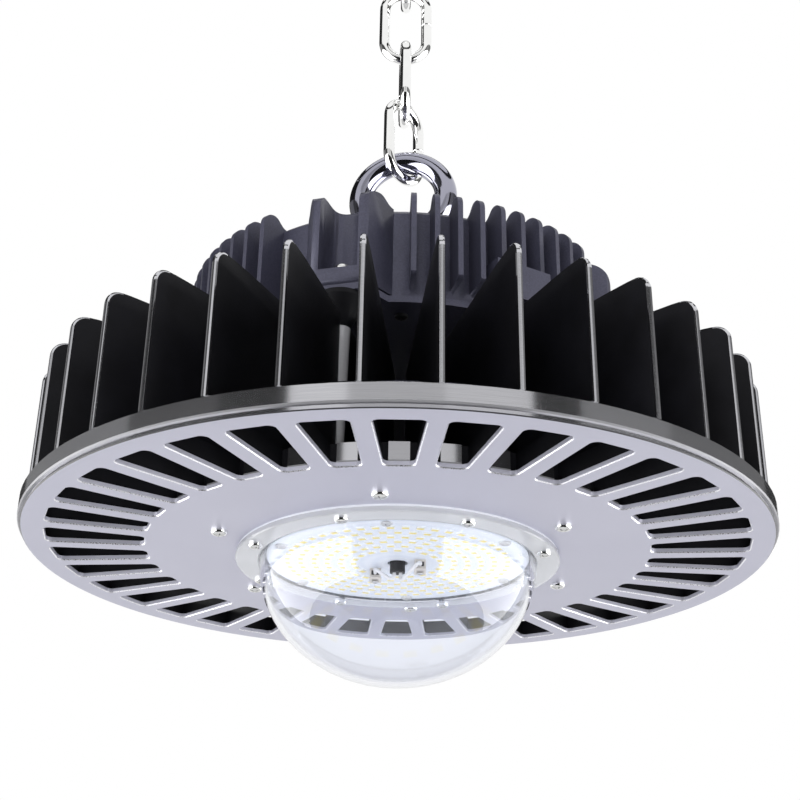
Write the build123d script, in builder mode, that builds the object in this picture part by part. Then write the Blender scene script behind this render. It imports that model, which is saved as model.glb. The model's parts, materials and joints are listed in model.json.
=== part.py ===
from build123d import *
import math
import os

# High bay light: a finned cast heat sink under a round finned driver, hung from an eye bolt on a chain.
# Millimetres, +Z up. The origin is where a hook bears inside the top chain link.
# Heights named below are measured up from the underside of the lamp's face plate.

# Heat sink casting and face plate
disc_diameter = 330.0
rim_height = 9.9
rim_bottom_chamfer = 0.5
rim_top_chamfer = 0.9
face_plate_thickness = 2.0
face_plate_inset = 1.3
face_plate_edge = 0.4
slot_count = 36
slot_inner_radius = 111.6
slot_outer_radius = 153.7
slot_inner_width = 11.7
slot_outer_width = 19.4
slot_corner_radius = 2.8
casting_slot_margin = 0.9
pad_width = 8.0
pad_depth = 1.2
fin_thickness = 2.4
fin_edge_inset = 2.6
fin_top = 71.8
fin_corner_radius = 7.0
fin_root_overlap = 2.0
fin_foot_overlap = 1.0
core_radius = 42.0
core_top = 58.0
core_bore_radius = 5.0
boss_radius = 58.6
plate_fit = 0.3

# Columns on four fins that carry the driver
ear_count = 4
ear_angle = -105.0
ear_circle_radius = 95.0
column_foot_radius = 3.0
column_neck_radius = 4.2
column_head_radius = 10.0
column_head_height = 13.5
column_head_rim = 2.0

# Lens and its fixings
dome_radius = 61.5
dome_depth = 53.0
dome_wall = 2.1
flange_radius = 72.0
flange_thickness = 2.6
lens_gasket_thickness = 0.8
lens_gasket_lip = 0.6
lens_screw_count = 8
lens_screw_circle = 66.8
lens_screw_angle = 25.0
lens_screw_radius = 1.75
lens_screw_head_radius = 3.1
lens_screw_head_height = 2.2
lens_screw_bite = 6.5

# Plate screws
plate_screw_count = 6
plate_screw_circle = 83.3
plate_screw_angle = 25.0
plate_screw_radius = 2.0
plate_screw_head_radius = 3.6
plate_screw_head_height = 2.4
plate_screw_bite = 6.0

# Light source board
board_radius = 58.4
board_thickness = 1.6
board_hole_radius = 4.5
pad_thickness = 0.5
board_screw_count = 6
board_screw_circle = 54.6
board_screw_angle = 25.0
board_screw_radius = 1.5
board_screw_head_radius = 2.6
board_screw_head_height = 1.6
board_screw_bite = 5.0
chip_length = 3.5
chip_width = 2.8
chip_height = 0.7
chip_ring_count = 6
chip_ring_first = 19.6
chip_ring_pitch = 5.9
chip_spacing = 6.1
chip_clear = 0.5
terminal_width = 5.0
terminal_length = 9.0
terminal_height = 4.6
terminal_edge = 0.5
terminal_places = [(-10.0, 12.0), (10.0, -2.0)]
terminal_screw_radius = 1.5
terminal_screw_height = 0.8
terminal_screw_shift = 2.0

# Cable between driver and board
cable_radius = 3.4
cable_drop = 4.5
lead_radius = 0.8
lead_spread = 1.4
lead_bend = 1.5
lead_drop = 4.0
lead_approach = 5.5
grommet_lip_radius = 6.5
grommet_lip = 1.6
grommet_wall = 1.2

# Driver housing
driver_bottom = 81.0
base_plate_thickness = 3.0
driver_gasket_thickness = 1.0
driver_gasket_inset = 1.6
driver_gasket_lap = 2.0
base_plate_overhang = 2.0
driver_wall_radius = 88.0
driver_wall = 4.0
shoulder_height = 127.5
shoulder_radius = 2.5
roof_height = 129.0
roof_flat_inner = 44.0
roof_thickness = 4.5
hub_radius = 22.0
hub_height = 143.0
hub_chamfer = 1.5
roof_slope_width = 8.0
ceiling_chamfer = 3.0
driver_fin_reach = 100.5
driver_fin_thickness = 2.2
driver_fin_rise = 130.5
driver_fin_crest = 93.8
driver_fin_foot = 3.5
driver_fin_bevel = 1.5
crest_sink = 0.5
driver_fins_per_quarter = 10
driver_fin_first = 17.7
driver_fin_pitch = 5.6
ear_reach = 102.0
ear_root_width = 40.0
ear_tip_width = 23.0
ear_corner_radius = 3.0
ear_floor = 92.0
pocket_radius = 8.4
lug_width = 27.0
lug_height = 16.0
lug_fin = 5
ear_screw_radius = 2.0
ear_screw_head_radius = 4.2
ear_screw_head_height = 4.0
ear_screw_bite = 9.0
ear_washer_radius = 5.0
ear_washer_thickness = 0.8
base_screw_count = 8
base_screw_circle = 78.0
base_screw_radius = 1.5
base_screw_head_radius = 2.8
base_screw_head_height = 1.8
base_screw_bite = 8.0
base_boss_radius = 4.5
base_boss_height = 12.0
base_rib_length = 7.0

# Driver electronics
circuit_radius = 71.0
circuit_thickness = 1.6
circuit_standoff = 4.0
spacer_count = 4
spacer_circle = 62.0
spacer_radius = 3.5
transformer_size = (36.0, 34.0, 24.0)
transformer_centre = (-24.0, 4.0)
coil_bulge = 2.5
coil_share = 0.6
choke_radius = 13.0
choke_hole_radius = 6.0
choke_height = 14.0
choke_edge = 2.5
choke_centre = (30.0, -26.0)
capacitor_radius = 9.0
capacitor_height = 26.0
capacitor_chamfer = 0.8
capacitor_places = [(26.0, 20.0), (46.0, 12.0)]

# Mains cable gland on the roof
gland_offset = 62.0
gland_flats = 22.0
gland_flange_height = 4.0
gland_stub_radius = 8.0
gland_stub_length = 10.0
gland_neck_radius = 7.4
gland_neck_height = 8.0
gland_bore_radius = 5.9
gland_ledge = 1.0
seal_bore_radius = 4.1
seal_length = 12.0
gland_cap_height = 12.0
gland_cap_radius = 10.4
gland_cap_roof = 2.0
gland_cap_mouth = 5.2
gland_cap_edge = 3.0

# Eye bolt
ring_radius = 22.0
ring_section_radius = 5.7
ring_turn = -10.0
ring_centre_height = 190.0
collar_radius = 13.0
collar_thickness = 3.5
collar_neck_radius = 7.5
bolt_radius = 6.0
bolt_engagement = 12.0
eye_washer_radius = 12.0
eye_washer_thickness = 2.0
eye_nut_flats = 19.0
eye_nut_height = 8.0

# Chain
link_length = 50.5
link_width = 28.2
link_wire_radius = 2.8
link_count = 4
link_turns = [48.0, 92.0, 0.0, 90.0]
link_clearance = 0.3

# Fits
thread_fit = 0.1
screw_tip_gap = 1.0
head_rim_share = 0.3
head_crown_share = 0.7
hole_fit = 0.3

disc_radius = disc_diameter / 2
link_arc_radius = link_width / 2 - link_wire_radius


def seat_drop(lower_arc, turn, apart):
    """How far a link's lowest centre line hangs under the top of the loop that it passes through.

    The two centre lines stay `apart` from each other all round, at any turn between the loops.
    """
    rises = []
    for step in range(181):
        angle = math.radians(step / 2)
        across = link_arc_radius * math.cos(angle)
        beside = across * math.cos(math.radians(turn))
        before = across * math.sin(math.radians(turn))
        if abs(before) < apart:
            reach = lower_arc - math.sqrt(apart**2 - before**2)
            rises.append(math.sqrt(reach**2 - beside**2) + link_arc_radius * math.sin(angle))
    return lower_arc + link_arc_radius - min(rises)


ring_apart = ring_section_radius + link_wire_radius + link_clearance
links_apart = 2 * link_wire_radius + link_clearance
ring_top = ring_centre_height + ring_radius
link_bottoms = [ring_top - seat_drop(ring_radius, link_turns[0] - ring_turn, ring_apart)]
for number in range(1, link_count):
    link_top = link_bottoms[-1] + link_length - 2 * link_wire_radius
    turn_between = link_turns[number] - link_turns[number - 1]
    link_bottoms.append(link_top - seat_drop(link_arc_radius, turn_between, links_apart))
hang_height = link_bottoms[-1] + link_length - 3 * link_wire_radius


def level(height):
    """Height above the face plate's underside, in the model's frame."""
    return height - hang_height


def turned_plane(height, turn):
    """An upright plane through the Z axis, turned about it from the XZ plane."""
    angle = math.radians(turn)
    return Plane(
        origin=(0, 0, level(height)),
        x_dir=(math.cos(angle), math.sin(angle), 0),
        z_dir=(math.sin(angle), -math.cos(angle), 0),
    )


def corner_arc(edge, top, radius):
    """A quarter arc that rounds the corner between a vertical edge and a flat top."""
    half = radius * math.sqrt(0.5)
    centre = (edge - radius, top - radius)
    return ThreePointArc((edge, centre[1]), (centre[0] + half, centre[1] + half), (centre[0], top))


def cap_screw(top, shank_radius, shank_length, head_radius, head_height):
    """A domed screw driven upwards, its head's seat at the given height."""
    with BuildPart() as screw:
        with BuildSketch(Plane.XZ):
            with BuildLine():
                Polyline(
                    (0, level(top) - head_height),
                    (0, level(top) + shank_length),
                    (shank_radius, level(top) + shank_length),
                    (shank_radius, level(top)),
                    (head_radius, level(top)),
                    (head_radius, level(top) - head_rim_share * head_height),
                )
                EllipticalCenterArc(
                    (0, level(top) - head_rim_share * head_height),
                    head_radius,
                    head_crown_share * head_height,
                    start_angle=-90,
                    arc_size=90,
                )
            make_face()
        revolve(axis=Axis.Z)
    return screw.part


def slot_outline(margin):
    """A slot's trapezoid along +X, grown by a margin."""
    inner = slot_inner_radius - margin
    outer = slot_outer_radius + margin
    half_inner = slot_inner_width / 2 + margin
    half_outer = slot_outer_width / 2 + margin
    return [
        (inner, -half_inner),
        (outer, -half_outer),
        (outer, half_outer),
        (inner, half_inner),
    ]


def finish(piece, name):
    piece.label = name
    export_step(piece, f"parts/{name}.step")


os.makedirs("parts", exist_ok=True)

slot_pitch = 360 / slot_count
slot_start = -90.0
fin_start = slot_start + slot_pitch / 2
fin_edge = disc_radius - fin_edge_inset
fin_root = core_radius - fin_root_overlap
fin_foot = rim_height - fin_foot_overlap
column_top = driver_bottom
column_neck = column_top - column_head_height
housing_bottom = driver_bottom + base_plate_thickness + driver_gasket_thickness
flange_top = -lens_gasket_thickness
flange_bottom = flange_top - flange_thickness
board_face = -pad_thickness - board_thickness
grommet_radius = cable_radius + grommet_wall
lug_angle = ear_angle + driver_fin_first + lug_fin * driver_fin_pitch

# Heat sink fin
with BuildPart() as fin:
    with BuildSketch(Plane.XZ):
        with BuildLine():
            Polyline(
                (fin_root, level(fin_foot)),
                (fin_root, level(fin_top)),
                (fin_edge - fin_corner_radius, level(fin_top)),
            )
            corner_arc(fin_edge, level(fin_top), fin_corner_radius)
            Polyline(
                (fin_edge, level(fin_top) - fin_corner_radius),
                (fin_edge, level(fin_foot)),
                (fin_root, level(fin_foot)),
            )
        make_face()
    extrude(amount=fin_thickness / 2, both=True)

# Column with a flared head that carries one ear of the driver
with BuildPart() as column:
    with BuildSketch(Plane.XZ):
        with BuildLine():
            Polyline(
                (ear_circle_radius, level(fin_foot)),
                (ear_circle_radius, level(column_top)),
                (ear_circle_radius + column_head_radius, level(column_top)),
                (ear_circle_radius + column_head_radius, level(column_top - column_head_rim)),
                (ear_circle_radius + column_neck_radius, level(column_neck)),
                (ear_circle_radius + column_foot_radius, level(fin_foot)),
                close=True,
            )
        make_face()
    revolve(axis=Axis((ear_circle_radius, 0, 0), (0, 0, 1)))

# Heat sink casting
with BuildPart() as heat_sink:
    with BuildSketch(Plane.XY.offset(level(face_plate_thickness))):
        Circle(disc_radius)
        with PolarLocations(0, slot_count, start_angle=slot_start):
            with BuildLine(mode=Mode.PRIVATE) as casting_slot:
                Polyline(*slot_outline(casting_slot_margin), close=True)
            add(make_face(casting_slot.edges(), mode=Mode.PRIVATE), mode=Mode.SUBTRACT)
    extrude(amount=rim_height - face_plate_thickness)
    rim_edges = heat_sink.edges().filter_by(GeomType.CIRCLE).group_by(Axis.Z)
    chamfer(rim_edges[0], rim_bottom_chamfer)
    chamfer(heat_sink.edges().filter_by(GeomType.CIRCLE).group_by(Axis.Z)[-1], rim_top_chamfer)
    with BuildSketch(Plane.XY.offset(level(0))):
        Circle(boss_radius)
    extrude(amount=face_plate_thickness)
    with BuildSketch(Plane.XY.offset(level(rim_height))):
        Circle(core_radius)
    extrude(amount=core_top - rim_height)
    with PolarLocations(0, slot_count, start_angle=fin_start):
        add(fin.part)
    with PolarLocations(0, slot_count, start_angle=slot_start):
        with Locations((slot_inner_radius - pad_depth, 0, level(face_plate_thickness))):
            Box(
                2 * pad_depth,
                pad_width,
                rim_height - face_plate_thickness,
                align=(Align.CENTER, Align.CENTER, Align.MIN),
            )
    with PolarLocations(0, ear_count, start_angle=ear_angle):
        add(column.part)
    with Locations((0, 0, level(0))):
        Cylinder(
            core_bore_radius,
            core_top,
            align=(Align.CENTER, Align.CENTER, Align.MIN),
            mode=Mode.SUBTRACT,
        )
    with BuildSketch(Plane.XY.offset(level(face_plate_thickness))):
        with PolarLocations(plate_screw_circle, plate_screw_count, start_angle=plate_screw_angle):
            Circle(plate_screw_radius + thread_fit)
        with PolarLocations(lens_screw_circle, lens_screw_count, start_angle=lens_screw_angle):
            Circle(lens_screw_radius + thread_fit)
    extrude(amount=max(plate_screw_bite, lens_screw_bite), mode=Mode.SUBTRACT)
    with BuildSketch(Plane.XY.offset(level(0))):
        with PolarLocations(board_screw_circle, board_screw_count, start_angle=board_screw_angle):
            Circle(board_screw_radius + thread_fit)
    extrude(amount=board_screw_bite, mode=Mode.SUBTRACT)
    with BuildSketch(Plane.XY.offset(level(column_top))):
        with PolarLocations(ear_circle_radius, ear_count, start_angle=ear_angle):
            Circle(ear_screw_radius + thread_fit)
    extrude(amount=-ear_screw_bite, mode=Mode.SUBTRACT)
finish(heat_sink.part, "heat_sink")

# Face plate over the underside of the casting, with the visible slots
with BuildPart() as face_plate:
    with BuildSketch(Plane.XY.offset(level(0))):
        Circle(disc_radius - face_plate_inset)
        Circle(boss_radius + plate_fit, mode=Mode.SUBTRACT)
        with BuildSketch(mode=Mode.PRIVATE) as plate_slot:
            with BuildLine():
                Polyline(*slot_outline(0), close=True)
            make_face()
            fillet(plate_slot.vertices(), slot_corner_radius)
        with PolarLocations(0, slot_count, start_angle=slot_start):
            add(plate_slot.sketch, mode=Mode.SUBTRACT)
        with PolarLocations(plate_screw_circle, plate_screw_count, start_angle=plate_screw_angle):
            Circle(plate_screw_radius + hole_fit, mode=Mode.SUBTRACT)
        with PolarLocations(lens_screw_circle, lens_screw_count, start_angle=lens_screw_angle):
            Circle(lens_screw_radius + hole_fit, mode=Mode.SUBTRACT)
    extrude(amount=face_plate_thickness)
    plate_rims = face_plate.edges().filter_by(GeomType.CIRCLE).sort_by(SortBy.RADIUS)[-2:]
    chamfer(plate_rims.sort_by(Axis.Z)[0], face_plate_edge)
finish(face_plate.part, "face_plate")

# Plate screws
plate_screw = cap_screw(
    0,
    plate_screw_radius,
    face_plate_thickness + plate_screw_bite,
    plate_screw_head_radius,
    plate_screw_head_height,
)
with BuildPart() as plate_screws:
    with PolarLocations(plate_screw_circle, plate_screw_count, start_angle=plate_screw_angle):
        add(plate_screw)
finish(plate_screws.part, "plate_screws")

# Thermal pad between the casting's boss and the board
with BuildPart() as thermal_pad:
    with BuildSketch(Plane.XY.offset(level(-pad_thickness))):
        Circle(board_radius)
        Circle(board_hole_radius, mode=Mode.SUBTRACT)
        with PolarLocations(board_screw_circle, board_screw_count, start_angle=board_screw_angle):
            Circle(board_screw_radius + hole_fit, mode=Mode.SUBTRACT)
    extrude(amount=pad_thickness)
finish(thermal_pad.part, "thermal_pad")

# Board that carries the light emitting chips
with BuildPart() as led_board:
    with BuildSketch(Plane.XY.offset(level(board_face))):
        Circle(board_radius)
        Circle(board_hole_radius, mode=Mode.SUBTRACT)
        with PolarLocations(board_screw_circle, board_screw_count, start_angle=board_screw_angle):
            Circle(board_screw_radius + hole_fit, mode=Mode.SUBTRACT)
    extrude(amount=board_thickness)
finish(led_board.part, "led_board")


def chip_places():
    """Chips on rings, left out where a screw or a terminal block stands."""
    places = []
    for ring in range(chip_ring_count):
        ring_size = chip_ring_first + ring * chip_ring_pitch
        count = int(2 * math.pi * ring_size / chip_spacing)
        for index in range(count):
            turn = 360 * index / count
            x = ring_size * math.cos(math.radians(turn))
            y = ring_size * math.sin(math.radians(turn))
            clear = True
            for number in range(board_screw_count):
                screw_turn = math.radians(board_screw_angle + 360 * number / board_screw_count)
                screw_x = board_screw_circle * math.cos(screw_turn)
                screw_y = board_screw_circle * math.sin(screw_turn)
                reach = board_screw_head_radius + chip_length / 2 + chip_clear
                if math.hypot(x - screw_x, y - screw_y) < reach:
                    clear = False
            for block_x, block_y in terminal_places:
                reach_x = terminal_width / 2 + chip_length / 2 + chip_clear
                reach_y = terminal_length / 2 + chip_length / 2 + chip_clear
                if abs(x - block_x) < reach_x and abs(y - block_y) < reach_y:
                    clear = False
            if clear:
                places.append(Location((x, y, 0), (0, 0, turn)))
    return places


# Light emitting chips
with BuildPart() as led_chips:
    with BuildSketch(Plane.XY.offset(level(board_face))):
        with Locations(*chip_places()):
            Rectangle(chip_width, chip_length)
    extrude(amount=-chip_height)
finish(led_chips.part, "led_chips")

# Board screws
board_screw = cap_screw(
    board_face,
    board_screw_radius,
    board_thickness + pad_thickness + board_screw_bite - screw_tip_gap,
    board_screw_head_radius,
    board_screw_head_height,
)
with BuildPart() as board_screws:
    with PolarLocations(board_screw_circle, board_screw_count, start_angle=board_screw_angle):
        add(board_screw)
finish(board_screws.part, "board_screws")

# Terminal blocks on the board, with a clamping screw each
terminal_bottom = board_face - terminal_height
with BuildPart() as terminal_blocks:
    with Locations(*[(x, y, level(board_face)) for x, y in terminal_places]):
        Box(
            terminal_width,
            terminal_length,
            terminal_height,
            align=(Align.CENTER, Align.CENTER, Align.MAX),
        )
    fillet(terminal_blocks.edges().group_by(Axis.Z)[0], terminal_edge)
finish(terminal_blocks.part, "terminal_blocks")

with BuildPart() as terminal_screws:
    with Locations(
        *[(x, y + terminal_screw_shift, level(terminal_bottom)) for x, y in terminal_places]
    ):
        Cylinder(
            terminal_screw_radius,
            terminal_screw_height,
            align=(Align.CENTER, Align.CENTER, Align.MAX),
        )
finish(terminal_screws.part, "terminal_screws")

# Lens: a clear dome and its flange turned in one piece
with BuildPart() as lens_dome:
    with BuildSketch(Plane.XZ):
        with BuildLine():
            inner_radius = dome_radius - dome_wall
            inner_depth = dome_depth - dome_wall
            Polyline(
                (inner_radius, level(flange_bottom)),
                (inner_radius, level(flange_top)),
                (flange_radius, level(flange_top)),
                (flange_radius, level(flange_bottom)),
                (dome_radius, level(flange_bottom)),
            )
            EllipticalCenterArc(
                (0, level(flange_bottom)), dome_radius, dome_depth, start_angle=-90, arc_size=90
            )
            Line(
                (0, level(flange_bottom) - dome_depth),
                (0, level(flange_bottom) - inner_depth),
            )
            EllipticalCenterArc(
                (0, level(flange_bottom)), inner_radius, inner_depth, start_angle=-90, arc_size=90
            )
        make_face()
    revolve(axis=Axis.Z)
    with BuildSketch(Plane.XY.offset(level(flange_top))):
        with PolarLocations(lens_screw_circle, lens_screw_count, start_angle=lens_screw_angle):
            Circle(lens_screw_radius + hole_fit)
    extrude(amount=-flange_thickness, mode=Mode.SUBTRACT)
finish(lens_dome.part, "lens_dome")

# Flat gasket under the flange
with BuildPart() as lens_gasket:
    with BuildSketch(Plane.XY.offset(level(flange_top))):
        Circle(flange_radius - lens_gasket_lip)
        Circle(dome_radius - dome_wall, mode=Mode.SUBTRACT)
        with PolarLocations(lens_screw_circle, lens_screw_count, start_angle=lens_screw_angle):
            Circle(lens_screw_radius + hole_fit, mode=Mode.SUBTRACT)
    extrude(amount=lens_gasket_thickness)
finish(lens_gasket.part, "lens_gasket")

# Lens screws
lens_screw = cap_screw(
    flange_bottom,
    lens_screw_radius,
    face_plate_thickness - flange_bottom + lens_screw_bite - screw_tip_gap,
    lens_screw_head_radius,
    lens_screw_head_height,
)
with BuildPart() as lens_screws:
    with PolarLocations(lens_screw_circle, lens_screw_count, start_angle=lens_screw_angle):
        add(lens_screw)
finish(lens_screws.part, "lens_screws")


def ear_outline(inset):
    """An ear's tapering outline along +X, drawn in by an inset."""
    return [
        (driver_wall_radius - driver_wall, -ear_root_width / 2 + inset),
        (ear_reach - inset, -ear_tip_width / 2 + inset),
        (ear_reach - inset, ear_tip_width / 2 - inset),
        (driver_wall_radius - driver_wall, ear_root_width / 2 - inset),
    ]


def driver_plan(wall_overhang, inset):
    """The driver's plan: its round wall and four ears, with the ears' screw holes."""
    with BuildSketch() as ear:
        with BuildLine():
            Polyline(*ear_outline(inset), close=True)
        make_face()
        outer_corners = ear.vertices().group_by(Axis.X)[-1]
        fillet(outer_corners, ear_corner_radius)
    with BuildSketch() as plan:
        Circle(driver_wall_radius + wall_overhang - inset)
        with PolarLocations(0, ear_count, start_angle=ear_angle):
            add(ear.sketch)
        with PolarLocations(ear_circle_radius, ear_count, start_angle=ear_angle):
            Circle(ear_screw_radius + hole_fit, mode=Mode.SUBTRACT)
    return plan.sketch


# Base plate that closes the driver from below
with BuildPart() as driver_base_plate:
    with BuildSketch(Plane.XY.offset(level(driver_bottom))):
        add(driver_plan(base_plate_overhang, 0))
        Circle(grommet_radius, mode=Mode.SUBTRACT)
        with PolarLocations(base_screw_circle, base_screw_count):
            Circle(base_screw_radius + hole_fit, mode=Mode.SUBTRACT)
    extrude(amount=base_plate_thickness)
finish(driver_base_plate.part, "driver_base_plate")

# Sheet gasket between base plate and housing
with BuildPart() as driver_gasket:
    with BuildSketch(Plane.XY.offset(level(driver_bottom + base_plate_thickness))):
        add(driver_plan(0, driver_gasket_inset))
        Circle(driver_wall_radius - driver_wall - driver_gasket_lap, mode=Mode.SUBTRACT)
    extrude(amount=driver_gasket_thickness)
finish(driver_gasket.part, "driver_gasket")


def crest_profile(reach, foot):
    """Radial profile of a driver fin or ear wall, with its rounded crest."""
    root = driver_wall_radius - driver_wall / 2
    corner = reach - driver_fin_crest
    with BuildSketch(Plane.XZ) as crest:
        with BuildLine():
            crest_top = (driver_fin_crest, level(driver_fin_rise))
            shoulder = (root, level(shoulder_height - crest_sink))
            corner_arc(reach, level(driver_fin_rise), corner)
            Bezier(
                crest_top,
                (0.6 * driver_fin_crest + 0.4 * root, level(driver_fin_rise)),
                ((root + driver_fin_crest) / 2, level(shoulder_height - crest_sink)),
                shoulder,
            )
            Polyline(
                shoulder,
                (root, level(foot)),
                (reach - driver_fin_bevel, level(foot)),
                (reach, level(foot + driver_fin_bevel)),
                (reach, level(driver_fin_rise) - corner),
            )
        make_face()
    return crest.sketch


# One fin of the driver
with BuildPart() as driver_fin:
    fin_profile = crest_profile(driver_fin_reach, housing_bottom + driver_fin_foot)
    extrude(fin_profile, amount=driver_fin_thickness / 2, both=True)

# One ear of the driver: a tapering block under the crest, with an open pocket for its screw
with BuildPart() as ear_block:
    extrude(crest_profile(ear_reach, housing_bottom), amount=ear_root_width / 2, both=True)
    with BuildSketch(Plane.XY.offset(level(housing_bottom))) as ear_plan:
        with BuildLine():
            Polyline(*ear_outline(0), close=True)
        make_face()
        fillet(ear_plan.vertices().group_by(Axis.X)[-1], ear_corner_radius)
    extrude(amount=driver_fin_rise - housing_bottom, mode=Mode.INTERSECT)
    with BuildSketch(Plane.XY.offset(level(ear_floor))):
        with Locations((ear_circle_radius, 0)):
            Circle(pocket_radius)
        with Locations((ear_circle_radius + pocket_radius, 0)):
            Rectangle(2 * pocket_radius, 2 * pocket_radius)
    extrude(amount=driver_fin_rise - ear_floor, mode=Mode.SUBTRACT)

# Plain lug under three fins, half way between the ears
with BuildPart() as lug:
    with Locations((driver_wall_radius - driver_wall, 0, level(housing_bottom))):
        Box(
            driver_fin_reach - driver_wall_radius + driver_wall,
            lug_width,
            lug_height,
            align=(Align.MIN, Align.CENTER, Align.MIN),
        )

# Driver housing
with BuildPart() as driver_housing:
    with BuildSketch(Plane.XZ):
        with BuildLine():
            wall_inner = driver_wall_radius - driver_wall
            ceiling = roof_height - roof_thickness
            Polyline(
                (0, level(hub_height)),
                (hub_radius, level(hub_height)),
                (hub_radius + hub_chamfer, level(hub_height - hub_chamfer)),
                (roof_flat_inner, level(roof_height)),
                (driver_wall_radius - roof_slope_width, level(roof_height)),
                (driver_wall_radius - shoulder_radius, level(shoulder_height)),
                (driver_wall_radius, level(shoulder_height) - shoulder_radius),
                (driver_wall_radius, level(housing_bottom)),
                (wall_inner, level(housing_bottom)),
                (wall_inner, level(ceiling - ceiling_chamfer)),
                (wall_inner - ceiling_chamfer, level(ceiling)),
                (0, level(ceiling)),
                close=True,
            )
        make_face()
    revolve(axis=Axis.Z)
    for quarter in range(ear_count):
        first = ear_angle + quarter * 360 / ear_count + driver_fin_first
        sweep_angle = driver_fin_pitch * driver_fins_per_quarter
        with PolarLocations(0, driver_fins_per_quarter, start_angle=first, angular_range=sweep_angle):
            add(driver_fin.part)
    with PolarLocations(0, ear_count, start_angle=lug_angle):
        add(lug.part)
    with PolarLocations(0, ear_count, start_angle=ear_angle):
        add(ear_block.part)
    with Locations((0, 0, level(housing_bottom))):
        Cylinder(
            wall_inner,
            ceiling - housing_bottom - ceiling_chamfer,
            align=(Align.CENTER, Align.CENTER, Align.MIN),
            mode=Mode.SUBTRACT,
        )
    with PolarLocations(base_screw_circle, base_screw_count):
        with Locations((0, 0, level(housing_bottom))):
            Cylinder(
                base_boss_radius,
                base_boss_height,
                align=(Align.CENTER, Align.CENTER, Align.MIN),
            )
    with BuildSketch(Plane.XY.offset(level(housing_bottom))):
        with PolarLocations(base_screw_circle, base_screw_count):
            with Locations((base_rib_length / 2, 0)):
                Rectangle(base_rib_length, 2 * base_boss_radius)
        Circle(driver_wall_radius - driver_wall / 2, mode=Mode.INTERSECT)
    extrude(amount=base_boss_height)
    with BuildSketch(Plane.XY.offset(level(housing_bottom))):
        with PolarLocations(base_screw_circle, base_screw_count):
            Circle(base_screw_radius + thread_fit)
    extrude(amount=base_screw_bite, mode=Mode.SUBTRACT)
    with BuildSketch(Plane.XY.offset(level(housing_bottom))):
        with PolarLocations(ear_circle_radius, ear_count, start_angle=ear_angle):
            Circle(ear_screw_radius + hole_fit)
    extrude(amount=ear_floor - housing_bottom, mode=Mode.SUBTRACT)
    with Locations((0, 0, level(hub_height))):
        Cylinder(
            bolt_radius + thread_fit,
            bolt_engagement + screw_tip_gap,
            align=(Align.CENTER, Align.CENTER, Align.MAX),
            mode=Mode.SUBTRACT,
        )
    with Locations((0, gland_offset, level(roof_height))):
        Cylinder(
            gland_stub_radius + thread_fit,
            roof_thickness,
            align=(Align.CENTER, Align.CENTER, Align.MAX),
            mode=Mode.SUBTRACT,
        )
finish(driver_housing.part, "driver_housing")

# Screws that close the base plate
base_screw = cap_screw(
    driver_bottom,
    base_screw_radius,
    base_plate_thickness + driver_gasket_thickness + base_screw_bite - screw_tip_gap,
    base_screw_head_radius,
    base_screw_head_height,
)
with BuildPart() as base_plate_screws:
    with PolarLocations(base_screw_circle, base_screw_count):
        add(base_screw)
finish(base_plate_screws.part, "base_plate_screws")

# Washers and screws that hold the driver's ears to the columns
with BuildPart() as ear_washers:
    with BuildSketch(Plane.XY.offset(level(ear_floor))):
        with PolarLocations(ear_circle_radius, ear_count, start_angle=ear_angle):
            Circle(ear_washer_radius)
            Circle(ear_screw_radius + hole_fit, mode=Mode.SUBTRACT)
    extrude(amount=ear_washer_thickness)
finish(ear_washers.part, "ear_washers")

ear_screw_seat = ear_floor + ear_washer_thickness
ear_screw_tip = column_top - ear_screw_bite + screw_tip_gap
with BuildPart() as ear_screws:
    with BuildSketch(Plane.XY.offset(level(ear_screw_tip))):
        with PolarLocations(ear_circle_radius, ear_count, start_angle=ear_angle):
            Circle(ear_screw_radius)
    extrude(amount=ear_screw_seat - ear_screw_tip)
    with BuildSketch(Plane.XY.offset(level(ear_screw_seat))):
        with PolarLocations(ear_circle_radius, ear_count, start_angle=ear_angle):
            Circle(ear_screw_head_radius)
    extrude(amount=ear_screw_head_height)
    fillet(ear_screws.edges().group_by(Axis.Z)[-1], head_crown_share * ear_screw_head_height)
finish(ear_screws.part, "ear_screws")

# Cable from the driver to the board, with its grommet and two leads
base_top = driver_bottom + base_plate_thickness
circuit_bottom = base_top + circuit_standoff
cable_end = board_face - cable_drop
with BuildPart() as wire_grommet:
    with BuildSketch(Plane.XY.offset(level(driver_bottom))):
        Circle(grommet_radius)
        Circle(cable_radius, mode=Mode.SUBTRACT)
    extrude(amount=base_plate_thickness)
    with BuildSketch(Plane.XY.offset(level(driver_bottom))):
        Circle(grommet_lip_radius)
        Circle(cable_radius, mode=Mode.SUBTRACT)
    extrude(amount=-grommet_lip)
finish(wire_grommet.part, "wire_grommet")

with BuildPart() as led_cable:
    with BuildSketch(Plane.XY.offset(level(cable_end))):
        Circle(cable_radius)
    extrude(amount=circuit_bottom - cable_end)
finish(led_cable.part, "led_cable")

lead_names = ["led_lead_left", "led_lead_right"]
terminal_entry = board_face - terminal_height / 2
for name, (block_x, block_y) in zip(lead_names, terminal_places):
    side = math.copysign(1.0, block_x)
    block_face = block_y - terminal_length / 2
    with BuildPart() as lead:
        with BuildLine() as lead_path:
            FilletPolyline(
                (side * lead_spread, 0, level(cable_end)),
                (side * lead_spread, 0, level(cable_end) - lead_drop),
                (block_x, block_face - lead_approach, level(terminal_entry)),
                (block_x, block_face, level(terminal_entry)),
                radius=lead_bend,
            )
        with BuildSketch(Plane(lead_path.line @ 0, z_dir=lead_path.line % 0)):
            Circle(lead_radius)
        sweep()
    finish(lead.part, name)

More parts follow.
